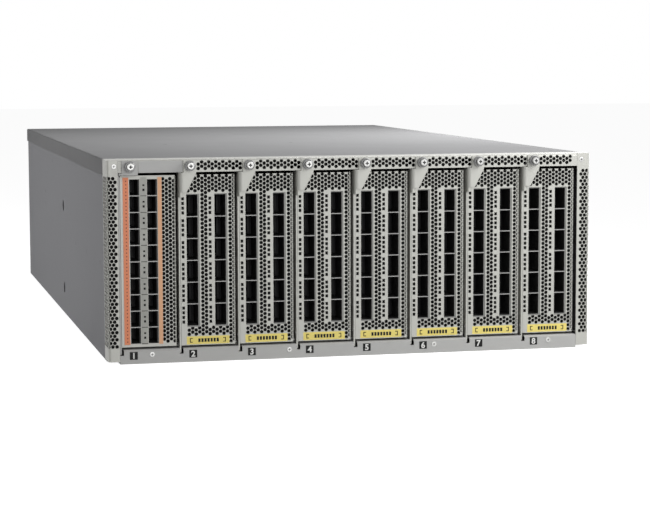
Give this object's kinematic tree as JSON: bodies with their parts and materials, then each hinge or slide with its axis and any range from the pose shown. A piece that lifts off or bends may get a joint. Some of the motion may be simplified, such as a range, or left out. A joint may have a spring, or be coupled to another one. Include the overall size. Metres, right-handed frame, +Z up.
{
  "type": "modular chassis switch",
  "caption": "Four-rack-unit network switch chassis with upright port modules, ejector levers, captive screws, rear power supplies and fan trays.",
  "frame": {"origin": "middle of the base, on the plane that the chassis rests on", "axes": "+X to the right seen from the port side, +Y from the port side to the rear, +Z up"},
  "size_m": [0.439, 0.7958, 0.177],
  "materials": {
    "frame_paint": "satin",
    "sill_paint": "satin",
    "cover_paint": "satin",
    "chassis_steel": "satin",
    "zinc_steel": "brushed",
    "cage_steel": "brushed",
    "circuit_board": "matte",
    "bright_screw": "polished",
    "latch_plastic": "matte",
    "fan_plastic": "matte"
  },
  "bodies": {
    "root": {"floor_pan": "chassis_steel", "left_side_wall": "chassis_steel", "right_side_wall": "chassis_steel", "top_cover": "cover_paint", "left_vent_strip": "frame_paint", "right_vent_strip": "frame_paint", "top_vent_rail": "frame_paint", "bottom_sill": "sill_paint", "label_plate": "sill_paint", "card_shelf": "zinc_steel", "midplane": "circuit_board", "rear_shelf": "zinc_steel", "rear_top_rail": "zinc_steel", "frame_screws": "bright_screw"},
    "module_1": {"slot_1_faceplate": "frame_paint", "slot_1_port_board": "cage_steel"},
    "lever_1": {"slot_1_ejector": "sill_paint"},
    "screw_1": {"slot_1_captive_screw": "bright_screw"},
    "module_2": {"slot_2_faceplate": "frame_paint", "slot_2_port_board": "cage_steel"},
    "lever_2": {"slot_2_ejector": "frame_paint"},
    "screw_2": {"slot_2_captive_screw": "bright_screw"},
    "module_3": {"slot_3_faceplate": "frame_paint", "slot_3_port_board": "cage_steel"},
    "lever_3": {"slot_3_ejector": "frame_paint"},
    "screw_3": {"slot_3_captive_screw": "bright_screw"},
    "module_4": {"slot_4_faceplate": "frame_paint", "slot_4_port_board": "cage_steel"},
    "lever_4": {"slot_4_ejector": "frame_paint"},
    "screw_4": {"slot_4_captive_screw": "bright_screw"},
    "module_5": {"slot_5_faceplate": "frame_paint", "slot_5_port_board": "cage_steel"},
    "lever_5": {"slot_5_ejector": "frame_paint"},
    "screw_5": {"slot_5_captive_screw": "bright_screw"},
    "module_6": {"slot_6_faceplate": "frame_paint", "slot_6_port_board": "cage_steel"},
    "lever_6": {"slot_6_ejector": "frame_paint"},
    "screw_6": {"slot_6_captive_screw": "bright_screw"},
    "module_7": {"slot_7_faceplate": "frame_paint", "slot_7_port_board": "cage_steel"},
    "lever_7": {"slot_7_ejector": "frame_paint"},
    "screw_7": {"slot_7_captive_screw": "bright_screw"},
    "module_8": {"slot_8_faceplate": "frame_paint", "slot_8_port_board": "cage_steel"},
    "lever_8": {"slot_8_ejector": "frame_paint"},
    "screw_8": {"slot_8_captive_screw": "bright_screw"},
    "supply_1": {"supply_1_case": "zinc_steel"},
    "latch_1": {"supply_1_latch": "latch_plastic"},
    "supply_2": {"supply_2_case": "zinc_steel"},
    "latch_2": {"supply_2_latch": "latch_plastic"},
    "supply_3": {"supply_3_case": "zinc_steel"},
    "latch_3": {"supply_3_latch": "latch_plastic"},
    "supply_4": {"supply_4_case": "zinc_steel"},
    "latch_4": {"supply_4_latch": "latch_plastic"},
    "fan_tray_1": {"fan_1_tray": "fan_plastic"},
    "rotor_1": {"fan_1_rotor": "fan_plastic"},
    "fan_tray_2": {"fan_2_tray": "fan_plastic"},
    "rotor_2": {"fan_2_rotor": "fan_plastic"},
    "fan_tray_3": {"fan_3_tray": "fan_plastic"},
    "rotor_3": {"fan_3_rotor": "fan_plastic"}
  },
  "joints": [
    {"name": "module_1_slide", "type": "slide", "parent": "root", "child": "module_1", "axis": [0, -1, 0], "range_m": [0, 0.415]},
    {"name": "lever_1_hinge", "type": "hinge", "parent": "module_1", "child": "lever_1", "pos_m": [-0.2084, -0.3739, 0.022], "axis": [1, 0, 0], "range_deg": [0, 55]},
    {"name": "screw_1_press", "type": "slide", "parent": "lever_1", "child": "screw_1", "axis": [0, 1, 0], "range_m": [0, 0.003], "stiffness_N_per_m": 200, "springref_m": -0.001},
    {"name": "module_2_slide", "type": "slide", "parent": "root", "child": "module_2", "axis": [0, -1, 0], "range_m": [0, 0.415]},
    {"name": "lever_2_hinge", "type": "hinge", "parent": "module_2", "child": "lever_2", "pos_m": [-0.1563, -0.3739, 0.022], "axis": [1, 0, 0], "range_deg": [0, 55]},
    {"name": "screw_2_press", "type": "slide", "parent": "lever_2", "child": "screw_2", "axis": [0, 1, 0], "range_m": [0, 0.003], "stiffness_N_per_m": 200, "springref_m": -0.001},
    {"name": "module_3_slide", "type": "slide", "parent": "root", "child": "module_3", "axis": [0, -1, 0], "range_m": [0, 0.415]},
    {"name": "lever_3_hinge", "type": "hinge", "parent": "module_3", "child": "lever_3", "pos_m": [-0.1042, -0.3739, 0.022], "axis": [1, 0, 0], "range_deg": [0, 55]},
    {"name": "screw_3_press", "type": "slide", "parent": "lever_3", "child": "screw_3", "axis": [0, 1, 0], "range_m": [0, 0.003], "stiffness_N_per_m": 200, "springref_m": -0.001},
    {"name": "module_4_slide", "type": "slide", "parent": "root", "child": "module_4", "axis": [0, -1, 0], "range_m": [0, 0.415]},
    {"name": "lever_4_hinge", "type": "hinge", "parent": "module_4", "child": "lever_4", "pos_m": [-0.0521, -0.3739, 0.022], "axis": [1, 0, 0], "range_deg": [0, 55]},
    {"name": "screw_4_press", "type": "slide", "parent": "lever_4", "child": "screw_4", "axis": [0, 1, 0], "range_m": [0, 0.003], "stiffness_N_per_m": 200, "springref_m": -0.001},
    {"name": "module_5_slide", "type": "slide", "parent": "root", "child": "module_5", "axis": [0, -1, 0], "range_m": [0, 0.415]},
    {"name": "lever_5_hinge", "type": "hinge", "parent": "module_5", "child": "lever_5", "pos_m": [0, -0.3739, 0.022], "axis": [1, 0, 0], "range_deg": [0, 55]},
    {"name": "screw_5_press", "type": "slide", "parent": "lever_5", "child": "screw_5", "axis": [0, 1, 0], "range_m": [0, 0.003], "stiffness_N_per_m": 200, "springref_m": -0.001},
    {"name": "module_6_slide", "type": "slide", "parent": "root", "child": "module_6", "axis": [0, -1, 0], "range_m": [0, 0.415]},
    {"name": "lever_6_hinge", "type": "hinge", "parent": "module_6", "child": "lever_6", "pos_m": [0.0521, -0.3739, 0.022], "axis": [1, 0, 0], "range_deg": [0, 55]},
    {"name": "screw_6_press", "type": "slide", "parent": "lever_6", "child": "screw_6", "axis": [0, 1, 0], "range_m": [0, 0.003], "stiffness_N_per_m": 200, "springref_m": -0.001},
    {"name": "module_7_slide", "type": "slide", "parent": "root", "child": "module_7", "axis": [0, -1, 0], "range_m": [0, 0.415]},
    {"name": "lever_7_hinge", "type": "hinge", "parent": "module_7", "child": "lever_7", "pos_m": [0.1042, -0.3739, 0.022], "axis": [1, 0, 0], "range_deg": [0, 55]},
    {"name": "screw_7_press", "type": "slide", "parent": "lever_7", "child": "screw_7", "axis": [0, 1, 0], "range_m": [0, 0.003], "stiffness_N_per_m": 200, "springref_m": -0.001},
    {"name": "module_8_slide", "type": "slide", "parent": "root", "child": "module_8", "axis": [0, -1, 0], "range_m": [0, 0.415]},
    {"name": "lever_8_hinge", "type": "hinge", "parent": "module_8", "child": "lever_8", "pos_m": [0.1563, -0.3739, 0.022], "axis": [1, 0, 0], "range_deg": [0, 55]},
    {"name": "screw_8_press", "type": "slide", "parent": "lever_8", "child": "screw_8", "axis": [0, 1, 0], "range_m": [0, 0.003], "stiffness_N_per_m": 200, "springref_m": -0.001},
    {"name": "supply_1_slide", "type": "slide", "parent": "root", "child": "supply_1", "axis": [0, 1, 0], "range_m": [0, 0.335]},
    {"name": "latch_1_press", "type": "slide", "parent": "supply_1", "child": "latch_1", "axis": [-1, 0, 0], "range_m": [0, 0.003], "stiffness_N_per_m": 300, "springref_m": -0.001},
    {"name": "supply_2_slide", "type": "slide", "parent": "root", "child": "supply_2", "axis": [0, 1, 0], "range_m": [0, 0.335]},
    {"name": "latch_2_press", "type": "slide", "parent": "supply_2", "child": "latch_2", "axis": [-1, 0, 0], "range_m": [0, 0.003], "stiffness_N_per_m": 300, "springref_m": -0.001},
    {"name": "supply_3_slide", "type": "slide", "parent": "root", "child": "supply_3", "axis": [0, 1, 0], "range_m": [0, 0.335]},
    {"name": "latch_3_press", "type": "slide", "parent": "supply_3", "child": "latch_3", "axis": [-1, 0, 0], "range_m": [0, 0.003], "stiffness_N_per_m": 300, "springref_m": -0.001},
    {"name": "supply_4_slide", "type": "slide", "parent": "root", "child": "supply_4", "axis": [0, 1, 0], "range_m": [0, 0.335]},
    {"name": "latch_4_press", "type": "slide", "parent": "supply_4", "child": "latch_4", "axis": [-1, 0, 0], "range_m": [0, 0.003], "stiffness_N_per_m": 300, "springref_m": -0.001},
    {"name": "fan_1_slide", "type": "slide", "parent": "root", "child": "fan_tray_1", "axis": [0, 1, 0], "range_m": [0, 0.07]},
    {"name": "fan_1_spin", "type": "hinge", "parent": "fan_tray_1", "child": "rotor_1", "pos_m": [-0.14473, 0.3621, 0.1019], "axis": [0, 1, 0], "continuous": true},
    {"name": "fan_2_slide", "type": "slide", "parent": "root", "child": "fan_tray_2", "axis": [0, 1, 0], "range_m": [0, 0.07]},
    {"name": "fan_2_spin", "type": "hinge", "parent": "fan_tray_2", "child": "rotor_2", "pos_m": [0, 0.3621, 0.1019], "axis": [0, 1, 0], "continuous": true},
    {"name": "fan_3_slide", "type": "slide", "parent": "root", "child": "fan_tray_3", "axis": [0, 1, 0], "range_m": [0, 0.07]},
    {"name": "fan_3_spin", "type": "hinge", "parent": "fan_tray_3", "child": "rotor_3", "pos_m": [0.14473, 0.3621, 0.1019], "axis": [0, 1, 0], "continuous": true}
  ]
}
